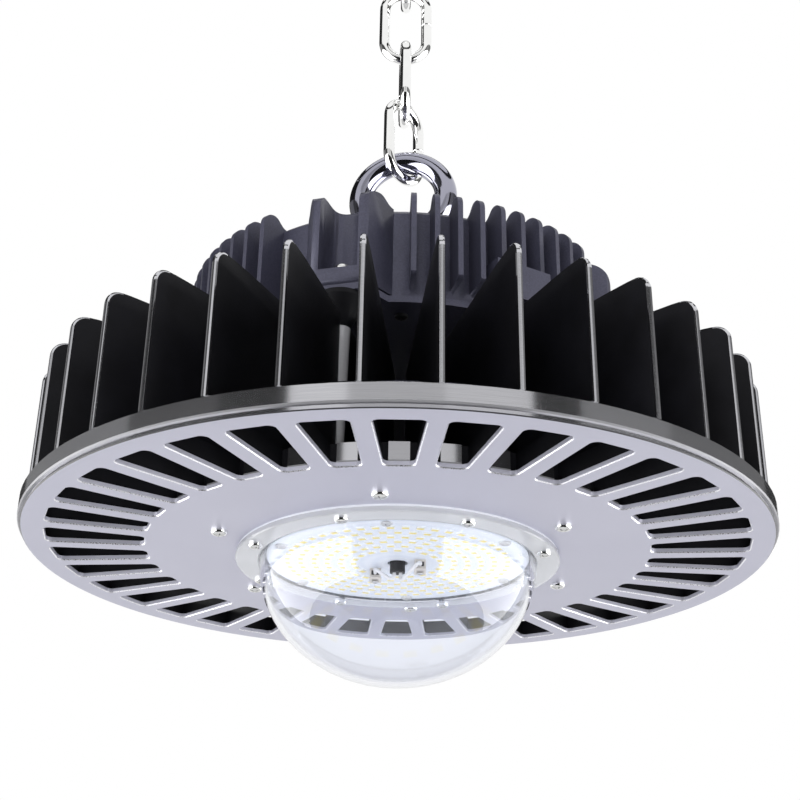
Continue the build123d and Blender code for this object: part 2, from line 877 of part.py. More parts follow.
# Driver circuit board on spacers, and the parts on it
with BuildPart() as board_spacers:
    with BuildSketch(Plane.XY.offset(level(base_top))):
        with PolarLocations(spacer_circle, spacer_count, start_angle=45):
            Circle(spacer_radius)
    extrude(amount=circuit_standoff)
finish(board_spacers.part, "board_spacers")

with BuildPart() as circuit_board:
    with BuildSketch(Plane.XY.offset(level(circuit_bottom))):
        Circle(circuit_radius)
    extrude(amount=circuit_thickness)
finish(circuit_board.part, "circuit_board")

circuit_top = circuit_bottom + circuit_thickness
coil_rise = transformer_size[2] * (1 - coil_share) / 2
with BuildPart() as transformer:
    with Locations((*transformer_centre, level(circuit_top))):
        Box(*transformer_size, align=(Align.CENTER, Align.CENTER, Align.MIN))
    with Locations((*transformer_centre, level(circuit_top) + coil_rise)):
        Box(
            transformer_size[0] + 2 * coil_bulge,
            transformer_size[1] * coil_share,
            transformer_size[2] * coil_share,
            align=(Align.CENTER, Align.CENTER, Align.MIN),
        )
finish(transformer.part, "transformer")

with BuildPart() as input_choke:
    with BuildSketch(Plane.XY.offset(level(circuit_top))):
        with Locations(choke_centre):
            Circle(choke_radius)
            Circle(choke_hole_radius, mode=Mode.SUBTRACT)
    extrude(amount=choke_height)
    fillet(input_choke.edges().group_by(Axis.Z)[-1], choke_edge)
finish(input_choke.part, "input_choke")

with BuildPart() as bulk_capacitors:
    with BuildSketch(Plane.XY.offset(level(circuit_top))):
        with Locations(*capacitor_places):
            Circle(capacitor_radius)
    extrude(amount=capacitor_height)
    chamfer(bulk_capacitors.edges().group_by(Axis.Z)[-1], capacitor_chamfer)
finish(bulk_capacitors.part, "bulk_capacitors")

# Cable gland: body, rubber seal and domed nut
gland_seat = roof_height
gland_plane = Plane((0, gland_offset, level(gland_seat)))
with BuildPart() as gland_body:
    with BuildSketch(gland_plane):
        RegularPolygon(gland_flats / 2, 6, major_radius=False)
    extrude(amount=gland_flange_height)
    with BuildSketch(gland_plane):
        Circle(gland_stub_radius)
    extrude(amount=-gland_stub_length)
    with BuildSketch(gland_plane.offset(gland_flange_height)):
        Circle(gland_neck_radius)
    extrude(amount=gland_neck_height)
    with BuildSketch(gland_plane.offset(-gland_stub_length)):
        Circle(gland_bore_radius - gland_ledge)
    extrude(amount=gland_stub_length, mode=Mode.SUBTRACT)
    with BuildSketch(gland_plane):
        Circle(gland_bore_radius)
    extrude(amount=gland_flange_height + gland_neck_height, mode=Mode.SUBTRACT)
finish(gland_body.part, "gland_body")

with BuildPart() as gland_seal:
    with BuildSketch(gland_plane):
        Circle(gland_bore_radius - plate_fit)
        Circle(seal_bore_radius, mode=Mode.SUBTRACT)
    extrude(amount=seal_length)
finish(gland_seal.part, "gland_seal")

with BuildPart() as gland_nut:
    with BuildSketch(gland_plane.offset(gland_flange_height)):
        Circle(gland_cap_radius)
    extrude(amount=gland_cap_height)
    fillet(gland_nut.edges().group_by(Axis.Z)[-1], gland_cap_edge)
    with BuildSketch(gland_plane.offset(gland_flange_height)):
        Circle(gland_neck_radius + thread_fit)
    extrude(amount=gland_cap_height - gland_cap_roof, mode=Mode.SUBTRACT)
    with BuildSketch(gland_plane.offset(gland_flange_height)):
        Circle(gland_cap_mouth)
    extrude(amount=gland_cap_height, mode=Mode.SUBTRACT)
finish(gland_nut.part, "gland_nut")

# Eye bolt with its ring turned about the vertical, lock nut and washer
washer_top = hub_height + eye_washer_thickness
collar_bottom = washer_top + eye_nut_height
with BuildPart() as eye_bolt:
    with BuildSketch(Plane.XZ):
        with BuildLine():
            ring_bottom = ring_centre_height - ring_radius
            Polyline(
                (0, level(ring_bottom)),
                (collar_neck_radius, level(ring_bottom)),
                (collar_radius, level(collar_bottom + collar_thickness)),
                (collar_radius, level(collar_bottom)),
                (bolt_radius, level(collar_bottom)),
                (bolt_radius, level(hub_height - bolt_engagement)),
                (0, level(hub_height - bolt_engagement)),
                close=True,
            )
        make_face()
    revolve(axis=Axis.Z)
    with Locations(turned_plane(ring_centre_height, ring_turn)):
        Torus(ring_radius, ring_section_radius)
finish(eye_bolt.part, "eye_bolt")

with BuildPart() as eye_washer:
    with BuildSketch(Plane.XY.offset(level(hub_height))):
        Circle(eye_washer_radius)
        Circle(bolt_radius + hole_fit, mode=Mode.SUBTRACT)
    extrude(amount=eye_washer_thickness)
finish(eye_washer.part, "eye_washer")

with BuildPart() as eye_nut:
    with BuildSketch(Plane.XY.offset(level(washer_top))):
        RegularPolygon(eye_nut_flats / 2, 6, major_radius=False)
        Circle(bolt_radius + thread_fit, mode=Mode.SUBTRACT)
    extrude(amount=eye_nut_height)
finish(eye_nut.part, "eye_nut")

# Chain: each link is one closed loop of round wire, turned against the next
for number in range(link_count):
    link_turn = link_turns[number]
    loop_middle = link_bottoms[number] + link_length / 2 - link_wire_radius
    loop_plane = turned_plane(loop_middle, link_turn)
    half_straight = link_length / 2 - link_width / 2
    with BuildPart() as link:
        with BuildLine(loop_plane) as loop:
            Line((link_arc_radius, -half_straight), (link_arc_radius, half_straight))
            ThreePointArc(
                (link_arc_radius, half_straight),
                (0, half_straight + link_arc_radius),
                (-link_arc_radius, half_straight),
            )
            Line((-link_arc_radius, half_straight), (-link_arc_radius, -half_straight))
            ThreePointArc(
                (-link_arc_radius, -half_straight),
                (0, -half_straight - link_arc_radius),
                (link_arc_radius, -half_straight),
            )
        with BuildSketch(Plane(loop.wire() @ 0, z_dir=loop.wire() % 0)):
            Circle(link_wire_radius)
        sweep(path=loop.wire())
    finish(link.part, f"chain_link_{number + 1}")
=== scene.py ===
import bpy
import bmesh
import json
import math
from mathutils import Matrix, Vector


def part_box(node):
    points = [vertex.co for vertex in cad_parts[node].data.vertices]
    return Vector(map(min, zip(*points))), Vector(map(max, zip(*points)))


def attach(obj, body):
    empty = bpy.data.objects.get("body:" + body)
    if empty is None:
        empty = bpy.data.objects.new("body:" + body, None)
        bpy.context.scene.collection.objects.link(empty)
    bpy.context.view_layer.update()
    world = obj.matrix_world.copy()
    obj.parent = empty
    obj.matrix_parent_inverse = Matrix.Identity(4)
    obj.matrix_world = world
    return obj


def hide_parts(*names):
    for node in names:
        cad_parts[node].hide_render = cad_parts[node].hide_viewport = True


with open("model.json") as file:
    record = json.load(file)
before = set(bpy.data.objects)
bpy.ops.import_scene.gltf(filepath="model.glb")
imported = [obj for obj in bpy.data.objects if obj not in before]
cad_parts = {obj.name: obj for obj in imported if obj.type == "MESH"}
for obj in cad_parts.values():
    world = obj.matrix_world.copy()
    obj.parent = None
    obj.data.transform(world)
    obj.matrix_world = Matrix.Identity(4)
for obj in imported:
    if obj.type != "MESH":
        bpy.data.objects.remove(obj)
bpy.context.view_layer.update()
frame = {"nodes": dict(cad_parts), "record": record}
nodes = frame["nodes"]
scene = bpy.context.scene
print("frame loaded:", len(nodes), "nodes")

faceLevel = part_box("face_plate")[0][2]  # underside of the face plate
hinges = {joint["name"]: joint for joint in frame["record"]["behaviour"]["joints"]}


def turnOf(hinge):  # a loop's turn about the vertical, from its hinge's axis
    axis = hinges[hinge]["axis"]
    return math.atan2(axis[0], -axis[1])


# Camera at the photograph's place, worked out from the rim's ellipse and known heights
cameraSet = {
    "place": (0.0, -0.5579, faceLevel - 0.1782),
    "pitch": 0.4306,
    "roll": 0.0150,
    "focalPixels": 1301.0,
    "imagePixels": 800,
    "sensor": 36.0,
}


def makeCamera():
    pitch = cameraSet["pitch"]
    roll = cameraSet["roll"]
    forward = Vector((0, math.cos(pitch), math.sin(pitch)))
    right = Vector((1, 0, 0))
    up = right.cross(forward)
    rolledRight = right * math.cos(roll) + up * math.sin(roll)
    rolledUp = up * math.cos(roll) - right * math.sin(roll)
    data = bpy.data.cameras.new("photoCamera")
    data.sensor_width = cameraSet["sensor"]
    data.lens = cameraSet["focalPixels"] * cameraSet["sensor"] / cameraSet["imagePixels"]
    data.clip_start = 0.01
    camera = bpy.data.objects.new("photoCamera", data)
    scene.collection.objects.link(camera)
    turn = Matrix((rolledRight, rolledUp, -forward)).transposed()
    camera.matrix_world = Matrix.Translation(cameraSet["place"]) @ turn.to_4x4()
    scene.camera = camera


makeCamera()


# Material tools
def newMaterial(name):
    material = bpy.data.materials.new(name)
    material.use_nodes = True
    tree = material.node_tree
    return material, tree, tree.nodes["Principled BSDF"]


def plug(tree, source, target):
    tree.links.new(source, target)


def position(tree, stretch=(1, 1, 1)):
    coordinates = tree.nodes.new("ShaderNodeTexCoord")
    if stretch == (1, 1, 1):
        return coordinates.outputs["Object"]
    mapping = tree.nodes.new("ShaderNodeMapping")
    mapping.inputs["Scale"].default_value = stretch
    plug(tree, coordinates.outputs["Object"], mapping.inputs["Vector"])
    return mapping.outputs["Vector"]


def noise(tree, where, scale, detail=3.0, rough=0.55):
    node = tree.nodes.new("ShaderNodeTexNoise")
    node.inputs["Scale"].default_value = scale
    node.inputs["Detail"].default_value = detail
    node.inputs["Roughness"].default_value = rough
    plug(tree, where, node.inputs["Vector"])
    return node.outputs["Fac"]


def calc(tree, operation, first, second=None, third=None):
    node = tree.nodes.new("ShaderNodeMath")
    node.operation = operation
    for index, value in enumerate((first, second, third)):
        if value is None:
            continue
        if isinstance(value, (int, float)):
            node.inputs[index].default_value = value
        else:
            plug(tree, value, node.inputs[index])
    return node.outputs[0]


def spread(tree, value, low, high):  # 0 to 1 becomes low to high
    node = tree.nodes.new("ShaderNodeMapRange")
    node.inputs["To Min"].default_value = low
    node.inputs["To Max"].default_value = high
    plug(tree, value, node.inputs["Value"])
    return node.outputs["Result"]


def tones(tree, value, stops):
    node = tree.nodes.new("ShaderNodeValToRGB")
    while len(node.color_ramp.elements) < len(stops):
        node.color_ramp.elements.new(0.5)
    for element, (place, colour) in zip(node.color_ramp.elements, stops):
        element.position = place
        element.color = (*colour, 1)
    plug(tree, value, node.inputs["Fac"])
    return node.outputs["Color"]


def blendColour(tree, amount, first, second):
    node = tree.nodes.new("ShaderNodeMix")
    node.data_type = "RGBA"
    for socket, value in ((node.inputs[0], amount), (node.inputs[6], first), (node.inputs[7], second)):
        if isinstance(value, tuple):
            socket.default_value = (*value, 1)
        elif isinstance(value, float):
            socket.default_value = value
        else:
            plug(tree, value, socket)
    return node.outputs[2]


def relief(tree, shader, height, distance, strength=1.0):
    node = tree.nodes.new("ShaderNodeBump")
    node.inputs["Distance"].default_value = distance
    node.inputs["Strength"].default_value = strength
    plug(tree, height, node.inputs["Height"])
    plug(tree, node.outputs["Normal"], shader.inputs["Normal"])


def plainFinish(name, look):  # clouded colour with a fine grain in roughness and relief
    material, tree, shader = newMaterial(name)
    where = position(tree)
    dark = tuple(channel * look.get("shade", 0.85) for channel in look["colour"])
    cloud = noise(tree, where, look.get("cloudScale", 40.0))
    plug(tree, tones(tree, cloud, [(0.3, dark), (0.7, look["colour"])]), shader.inputs["Base Color"])
    grain = noise(tree, where, look.get("grainScale", 1500.0))
    low, high = look["roughness"]
    plug(tree, spread(tree, grain, low, high), shader.inputs["Roughness"])
    relief(tree, shader, grain, look.get("grainDepth", 0.00002), look.get("grainStrength", 0.4))
    shader.inputs["Metallic"].default_value = look.get("metallic", 0.0)
    shader.inputs["Specular IOR Level"].default_value = look.get("specular", 0.5)
    return material


def coordinatesOf(tree, where):  # the three coordinates, and the distance from the lamp's axis
    parts = tree.nodes.new("ShaderNodeSeparateXYZ")
    plug(tree, where, parts.inputs["Vector"])
    x, y, z = parts.outputs
    return x, y, z, lengthOf(tree, x, y)


def lengthOf(tree, first, second):
    squares = calc(tree, "MULTIPLY", first, first), calc(tree, "MULTIPLY", second, second)
    return calc(tree, "SQRT", calc(tree, "ADD", *squares))


# Mesh tools
sharpAngle = 1.0  # radians between the faces of a sharp edge
facing = 0.9  # a normal with this share along an axis looks that way


def copyNode(name, angle=0.01):  # a merged copy of a CAD node, its flat faces joined again
    bm = bmesh.new()
    bm.from_mesh(nodes[name].data)
    bmesh.ops.remove_doubles(bm, verts=bm.verts, dist=0.000002)
    bmesh.ops.dissolve_limit(
        bm, angle_limit=angle, use_dissolve_boundaries=False, verts=bm.verts, edges=bm.edges
    )
    for face in bm.faces:
        face.material_index = 0
    return bm


def turnProfile(bm, points, steps):
    # a profile of (radius, height) points turned about Z
    before = set(bm.verts)
    profile = [bm.verts.new((radius, 0, height)) for radius, height in points]
    edges = [bm.edges.new(pair) for pair in zip(profile, profile[1:])]
    bmesh.ops.spin(
        bm,
        geom=profile + edges,
        cent=(0, 0, 0),
        axis=(0, 0, 1),
        angle=2 * math.pi,
        steps=steps,
        use_merge=True,
    )
    made = [vert for vert in bm.verts if vert not in before]
    bmesh.ops.remove_doubles(bm, verts=made, dist=0.000001)
    made = [vert for vert in bm.verts if vert not in before]
    faces = list({face for vert in made for face in vert.link_faces})
    bmesh.ops.recalc_face_normals(bm, faces=faces)
    return made, faces


def makePiece(bm, name, materials, body, replaced=(), smoothAngle=32):
    mesh = bpy.data.meshes.new(name)
    bm.to_mesh(mesh)
    bm.free()
    for material in materials:
        mesh.materials.append(material)
    mesh.shade_smooth()
    mesh.set_sharp_from_angle(angle=math.radians(smoothAngle))
    piece = bpy.data.objects.new(name, mesh)
    scene.collection.objects.link(piece)
    if replaced:
        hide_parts(*replaced)
    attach(piece, body)
    return piece


def dressNode(name, material):
    data = nodes[name].data
    data.materials.clear()
    data.materials.append(material)


def around(count, start, radius, height, flip=False):  # places on a circle, all facing along Z
    half = Matrix.Rotation(math.pi, 4, "X") if flip else Matrix.Identity(4)
    for index in range(count):
        turn = math.radians(start + 360 * index / count)
        yield Matrix.Rotation(turn, 4, "Z") @ Matrix.Translation((radius, 0, height)) @ half


# Heat sink casting: black coat, with bare machined edges, rim, pads and columns
castingSet = {
    "finEdge": 0.1624,
    "finTop": 0.0718,
    "finCorner": 0.007,
    "machined": 0.0010,
    "slotPitch": math.radians(10),
    "shareShift": 100.5,
    "padRadius": 0.1116,
    "padHalfWidth": 0.00405,
    "padTop": 0.0100,
    "columnRadius": 0.095,
    "columnTurn": math.radians(-105),
    "columnBare": 0.0046,
    "columnBareTop": 0.0668,
    "coat": (0.0035, 0.0035, 0.0045),
    "coatLight": (0.006, 0.006, 0.008),
    "bare": (0.64, 0.64, 0.67),
    "bareDark": (0.57, 0.57, 0.60),
    "columnShine": 0.35,
    "coatRoughness": (0.42, 0.56),
    "bareRoughness": (0.09, 0.12),
    "specular": 0.14,
    "cloudScale": 60.0,
    "latheScale": 160.0,
    "latheStretch": (0.4, 0.4, 30.0),
    "grainScale": 1700.0,
    "grainDepth": 0.00002,
    "bareGrain": 0.08,
    # height and bare share of the rim's lower band, darkened as painted shade of the gap at the face plate
    "shadeBandTop": 0.0026,
    "shadeBandBareShare": 0.42,
    "rimTop": 0.0099,
    "rimSlack": 0.001,
    "corner": 0.0009,
}


def castingMaterial():
    look = castingSet
    material, tree, shader = newMaterial("castCoatAndBareMetal")
    where = position(tree)
    x, y, z, radius = coordinatesOf(tree, where)
    height = calc(tree, "SUBTRACT", z, faceLevel)
    # outer edges and rounded corners of the fins, and everything on the rim
    beyond = calc(tree, "SUBTRACT", radius, look["finEdge"] - look["finCorner"])
    above = calc(tree, "SUBTRACT", height, look["finTop"] - look["finCorner"])
    reach = lengthOf(tree, calc(tree, "MAXIMUM", beyond, 0.0), calc(tree, "MAXIMUM", above, 0.0))
    edge = calc(tree, "GREATER_THAN", reach, look["finCorner"] - look["machined"])
    edge = calc(tree, "MULTIPLY", edge, calc(tree, "GREATER_THAN", beyond, 0.0))
    # pads at the slots' inner ends, on whole shares: the shift keeps them positive and centres them
    share = calc(tree, "DIVIDE", calc(tree, "ARCTAN2", y, x), look["slotPitch"])
    shifted = calc(tree, "FRACT", calc(tree, "ADD", share, look["shareShift"]))
    offCentre = calc(tree, "SUBTRACT", shifted, 0.5)
    sideways = calc(tree, "MULTIPLY", calc(tree, "ABSOLUTE", offCentre), radius)
    pad = calc(tree, "LESS_THAN", sideways, look["padHalfWidth"] / look["slotPitch"])
    offFace = calc(tree, "ABSOLUTE", calc(tree, "SUBTRACT", radius, look["padRadius"]))
    pad = calc(tree, "MULTIPLY", pad, calc(tree, "LESS_THAN", offFace, look["machined"]))
    pad = calc(tree, "MULTIPLY", pad, calc(tree, "LESS_THAN", height, look["padTop"]))
    # bare lower part of the four columns
    cosine, sine = math.cos(look["columnTurn"]), math.sin(look["columnTurn"])
    along = calc(tree, "MULTIPLY_ADD", x, cosine, calc(tree, "MULTIPLY", y, sine))
    across = calc(tree, "MULTIPLY_ADD", y, cosine, calc(tree, "MULTIPLY", x, -sine))
    near = [
        lengthOf(tree, calc(tree, "SUBTRACT", calc(tree, "ABSOLUTE", a), look["columnRadius"]), b)
        for a, b in ((along, across), (across, along))
    ]
    column = calc(tree, "LESS_THAN", calc(tree, "MINIMUM", *near), look["columnBare"])
    column = calc(tree, "MULTIPLY", column, calc(tree, "LESS_THAN", height, look["columnBareTop"]))
    bare = calc(tree, "MAXIMUM", calc(tree, "MAXIMUM", edge, pad), column)
    # the rim's lower face and chamfer beside the face plate get less bare metal, so they are darker and
    # duller: painted shade for the gap between rim and plate
    ring = calc(tree, "LESS_THAN", height, look["shadeBandTop"])
    bare = calc(tree, "MULTIPLY", bare, spread(tree, ring, 1.0, look["shadeBandBareShare"]))
    # colours, roughness and relief of both finishes
    cloud = noise(tree, where, look["cloudScale"])
    lathe = noise(tree, position(tree, look["latheStretch"]), look["latheScale"], 4.0)
    grain = noise(tree, where, look["grainScale"], 2.0)
    coat = tones(tree, cloud, [(0.3, look["coat"]), (0.7, look["coatLight"])])
    metal = tones(tree, lathe, [(0.3, look["bareDark"]), (0.7, look["bare"])])
    plug(tree, blendColour(tree, bare, coat, metal), shader.inputs["Base Color"])
    shine = calc(tree, "MULTIPLY", bare, spread(tree, column, 1.0, look["columnShine"]))
    plug(tree, shine, shader.inputs["Metallic"])
    coatRough = spread(tree, grain, *look["coatRoughness"])
    metalRough = spread(tree, lathe, *look["bareRoughness"])
    rough = tree.nodes.new("ShaderNodeMix")
    plug(tree, bare, rough.inputs[0])
    plug(tree, coatRough, rough.inputs[2])
    plug(tree, metalRough, rough.inputs[3])
    plug(tree, rough.outputs[0], shader.inputs["Roughness"])
    shader.inputs["Specular IOR Level"].default_value = look["specular"]
    bumps = calc(tree, "MULTIPLY", grain, spread(tree, bare, 1.0, look["bareGrain"]))
    relief(tree, shader, bumps, look["grainDepth"], 0.35)
    return material


bm = copyNode("heat_sink")
finReach = castingSet["finEdge"] - castingSet["finCorner"]
rimTop, rimSlack = castingSet["rimTop"], castingSet["rimSlack"]
finCorners = []
for edge in bm.edges:
    outer = all(math.hypot(vert.co.x, vert.co.y) > finReach for vert in edge.verts)
    levels = [vert.co.z - faceLevel for vert in edge.verts]
    high = max(levels) > rimTop + rimSlack and min(levels) > rimTop - rimSlack
    if outer and high and len(edge.link_faces) == 2 and edge.calc_face_angle() > sharpAngle:
        finCorners.append(edge)
bmesh.ops.bevel(
    bm, geom=finCorners, offset=castingSet["corner"], segments=2, profile=0.5, affect="EDGES", material=-1
)
makePiece(bm, "heatSinkCasting", [castingMaterial()], "lamp", ["heat_sink"], 21)
print("heat sink dressed, softened edges:", len(finCorners))


# Face plate: satin anodised sheet whose slots have bright cut edges
plateSet = {
    "slotRadii": (0.108, 0.158),
    "cut": 0.0004,
    "satin": (0.56, 0.56, 0.65),
    "satinDark": (0.53, 0.53, 0.62),
    "bright": (0.90, 0.90, 0.94),
    "turned": (0.60, 0.60, 0.64),
    "rimReach": 0.160,
    "sideSlope": 0.3,
    "levelSlack": 0.00002,
    "metallic": 0.55,
    "roughness": (0.40, 0.52),
    "cloudScale": 14.0,
    "grainScale": 2600.0,
    "grainDepth": 0.00001,
}


def satinMaterial():
    look = plateSet
    material, tree, shader = newMaterial("satinAnodised")
    where = position(tree)
    cloud = noise(tree, where, look["cloudScale"], 2.0)
    grain = noise(tree, where, look["grainScale"], 2.0)
    colour = tones(tree, cloud, [(0.3, look["satinDark"]), (0.7, look["satin"])])
    plug(tree, colour, shader.inputs["Base Color"])
    plug(tree, spread(tree, grain, *look["roughness"]), shader.inputs["Roughness"])
    shader.inputs["Metallic"].default_value = look["metallic"]
    relief(tree, shader, grain, look["grainDepth"], 0.25)
    return material


brightCut = plainFinish(
    "brightCutEdge",
    {"colour": plateSet["bright"], "shade": 0.95, "metallic": 0.9, "roughness": (0.22, 0.34)},
)
bm = copyNode("face_plate")
innerReach, outerReach = plateSet["slotRadii"]
slotEdges = []
for edge in bm.edges:
    low = all(abs(vert.co.z - faceLevel) < plateSet["levelSlack"] for vert in edge.verts)
    radii = [math.hypot(vert.co.x, vert.co.y) for vert in edge.verts]
    inRing = all(innerReach < radius < outerReach for radius in radii)
    if low and inRing and len(edge.link_faces) == 2 and edge.calc_face_angle() > sharpAngle:
        slotEdges.append(edge)
bmesh.ops.bevel(
    bm,
    geom=slotEdges,
    offset=plateSet["cut"],
    segments=1,
    profile=0.5,
    affect="EDGES",
    material=1,
)
turnedEdge = plainFinish(
    "turnedEdge",
    {"colour": plateSet["turned"], "shade": 0.95, "metallic": 1.0, "roughness": (0.09, 0.13),
     "grainStrength": 0.02},
)
# near-black finish for the plate's outer chamfer: a painted shade line between rim and plate
paintedShadeChamfer = plainFinish("paintedShadeChamfer", {"colour": (0.03, 0.03, 0.035), "roughness": (0.3, 0.4)})
# outer side faces take the turned finish, chamfer faces the painted shade
for face in bm.faces:
    centre = face.calc_center_median()
    slope = abs(face.normal.z)
    if slope < facing and math.hypot(centre.x, centre.y) > plateSet["rimReach"]:
        face.material_index = 2 if slope < plateSet["sideSlope"] else 3
plateFinishes = [satinMaterial(), brightCut, turnedEdge, paintedShadeChamfer]
makePiece(bm, "facePlateCut", plateFinishes, "lamp", ["face_plate"])
print("face plate dressed, cut edges:", len(slotEdges))


# Screws: pan heads with a cross recess, made at their CAD places
screwMetal = plainFinish(
    "brightZincScrew",
    {"colour": (0.88, 0.88, 0.87), "shade": 0.94, "metallic": 1.0, "roughness": (0.08, 0.16)},
)
# near-black finish: painted shade in the screws' cross recesses and the terminals' entries
paintedRecessShade = plainFinish(
    "recessPaintedShade",
    {"colour": (0.08, 0.08, 0.08), "metallic": 0.8, "roughness": (0.4, 0.6)},
)
blackScrew = plainFinish(
    "blackOxideScrew", {"colour": (0.008, 0.008, 0.009), "specular": 0.15, "roughness": (0.4, 0.55)}
)
screwSets = {
    "plate_screws": {
        "count": 6, "circle": 0.0833, "turn": 25.0, "seat": 0.0,
        "head": 0.0036, "rise": 0.0024, "shank": 0.0020, "length": 0.0080,
    },
    "lens_screws": {
        "count": 8, "circle": 0.0668, "turn": 25.0, "seat": -0.0034,
        "head": 0.0031, "rise": 0.0022, "shank": 0.00175, "length": 0.0109,
    },
    "board_screws": {
        "count": 6, "circle": 0.0546, "turn": 25.0, "seat": -0.0021,
        "head": 0.0026, "rise": 0.0016, "shank": 0.0015, "length": 0.0061,
    },
    "base_plate_screws": {
        "count": 8, "circle": 0.0780, "turn": 0.0, "seat": 0.0810,
        "head": 0.0028, "rise": 0.0018, "shank": 0.0015, "length": 0.0110, "dark": True,
    },
    "ear_screws": {
        "count": 4, "circle": 0.0950, "turn": -105.0, "seat": 0.0928,
        "head": 0.0042, "rise": 0.0040, "shank": 0.0020, "length": 0.0198, "up": True,
    },
}
screwShape = {"rim": 0.35, "crown": 5, "recess": 0.52, "recessDepth": 0.45, "steps": 24}


def addScrew(bm, size, place):
    head, rise = size["head"], size["rise"]
    rim = rise * screwShape["rim"]
    points = [(0, -size["length"]), (size["shank"], -size["length"]), (size["shank"], 0), (head, 0)]
    for index in range(screwShape["crown"] + 1):
        turn = math.pi / 2 * index / screwShape["crown"]
        points.append((head * math.cos(turn), rim + (rise - rim) * math.sin(turn)))
    made, faces = turnProfile(bm, points, screwShape["steps"])
    step = 2 * math.pi / screwShape["steps"]
    arms = []
    for face in faces:
        centre = face.calc_center_median()
        if centre.z < rim or math.hypot(centre.x, centre.y) > head * screwShape["recess"]:
            continue
        turn = math.atan2(centre.y, centre.x) % (math.pi / 2)
        if turn < step:
            arms.append(face)
    sunk = bmesh.ops.extrude_face_region(bm, geom=arms)
    bmesh.ops.delete(bm, geom=arms, context="FACES")
    pushed = [part for part in sunk["geom"] if isinstance(part, bmesh.types.BMVert)]
    for part in sunk["geom"]:
        # the sunk cross faces take the painted recess shade
        if isinstance(part, bmesh.types.BMFace):
            part.material_index = 1
    bmesh.ops.translate(bm, verts=pushed, vec=(0, 0, -rise * screwShape["recessDepth"]))
    whole = list(set(made) | set(pushed))
    bmesh.ops.transform(bm, matrix=place, verts=[vert for vert in whole if vert.is_valid])


for name, size in screwSets.items():
    bm = bmesh.new()
    level = faceLevel + size["seat"]
    for place in around(size["count"], size["turn"], size["circle"], level, not size.get("up")):
        addScrew(bm, size, place)
    finish, slotName = (blackScrew, "dark_screws") if size.get("dark") else (screwMetal, "screws")
    makePiece(bm, "crossHead_" + name, [finish, paintedRecessShade], "lamp", [name])
dressNode("ear_washers", screwMetal)
print("screws made")


# Lens: dome and flange turned as one clear moulding
lensSet = {
    "domeRadius": 0.0615,
    "domeDepth": 0.0530,
    "wall": 0.0021,
    "flangeRadius": 0.0720,
    "flangeTop": -0.0008,
    "flangeThickness": 0.0026,
    "flangeRound": 0.0005,
    "arcPoints": 28,
    "steps": 128,
    "tint": (0.940, 0.952, 0.995),
    "tintDeep": (0.925, 0.940, 0.985),
    "haze": 0.45,
    "refraction": 1.49,
    "driftScale": 9.0,
    "driftDepth": 0.0002,
}


def lensMaterial():
    material, tree, shader = newMaterial("clearLens")
    where = position(tree)
    drift = noise(tree, where, lensSet["driftScale"], 1.0)
    colour = tones(tree, drift, [(0.3, lensSet["tintDeep"]), (0.7, lensSet["tint"])])
    plug(tree, colour, shader.inputs["Base Color"])
    # the flange is a little milky, the dome is clear
    radius = coordinatesOf(tree, where)[3]
    flange = calc(tree, "GREATER_THAN", radius, lensSet["domeRadius"] + lensSet["flangeRound"])
    clear = spread(tree, flange, 1.0, 1.0 - lensSet["haze"])
    plug(tree, clear, shader.inputs["Transmission Weight"])
    shader.inputs["Roughness"].default_value = 0.0
    shader.inputs["IOR"].default_value = lensSet["refraction"]
    relief(tree, shader, drift, lensSet["driftDepth"], 0.12)
    return material


def makeLens():
    size = lensSet
    top = faceLevel + size["flangeTop"]
    bottom = top - size["flangeThickness"]
    inner = size["domeRadius"] - size["wall"]
    innerDepth = size["domeDepth"] - size["wall"]
    soft = size["flangeRound"]
    points = []
    for index in range(size["arcPoints"] + 1):  # inner wall, from the pole up
        turn = math.pi / 2 * index / size["arcPoints"]
        points.append((inner * math.sin(turn), bottom - innerDepth * math.cos(turn)))
    points += [(inner, top), (size["flangeRadius"] - soft, top), (size["flangeRadius"], top - soft)]
    points += [(size["flangeRadius"], bottom + soft), (size["flangeRadius"] - soft, bottom)]
    for index in range(size["arcPoints"] + 1):  # outer wall, down to the pole
        turn = math.pi / 2 * (1 - index / size["arcPoints"])
        points.append((size["domeRadius"] * math.sin(turn), bottom - size["domeDepth"] * math.cos(turn)))
    bm = bmesh.new()
    turnProfile(bm, points, size["steps"])
    lens = makePiece(bm, "clearDome", [lensMaterial()], "lamp", ["lens_dome"], 40)
    lens.visible_shadow = False  # light reaches the board through the clear wall


makeLens()
gasketMaterial = plainFinish(
    "clearSilicone",
    {"colour": (0.80, 0.82, 0.86), "shade": 0.95, "roughness": (0.35, 0.5), "grainScale": 500.0},
)
dressNode("lens_gasket", gasketMaterial)
print("lens made")


# Light source board with its packages
boardSet = {
    "white": (0.86, 0.90, 0.96),
    "whiteShade": (0.80, 0.85, 0.93),
    "roughness": (0.30, 0.42),
    "cloudScale": 90.0,
    "track": 0.0059,
    "trackShare": 0.35,
    "packageRim": 0.00042,
    "packageSink": 0.00018,
    "phosphor": (0.98, 0.84, 0.26),
    "housing": (0.93, 0.93, 0.91),
}


def boardMaterial():
    material, tree, shader = newMaterial("whiteBoardMask")
    where = position(tree)
    radius = coordinatesOf(tree, where)[3]
    rings = calc(tree, "SINE", calc(tree, "MULTIPLY", radius, 2 * math.pi / boardSet["track"]))
    cloud = noise(tree, where, boardSet["cloudScale"])
    faint = calc(tree, "MULTIPLY", rings, boardSet["trackShare"])
    shade = spread(tree, calc(tree, "ADD", faint, cloud), 0.0, 1.0)
    colour = tones(tree, shade, [(0.25, boardSet["whiteShade"]), (0.6, boardSet["white"])])
    plug(tree, colour, shader.inputs["Base Color"])
    plug(tree, spread(tree, cloud, *boardSet["roughness"]), shader.inputs["Roughness"])
    relief(tree, shader, calc(tree, "ADD", rings, cloud), 0.00002, 0.5)
    return material


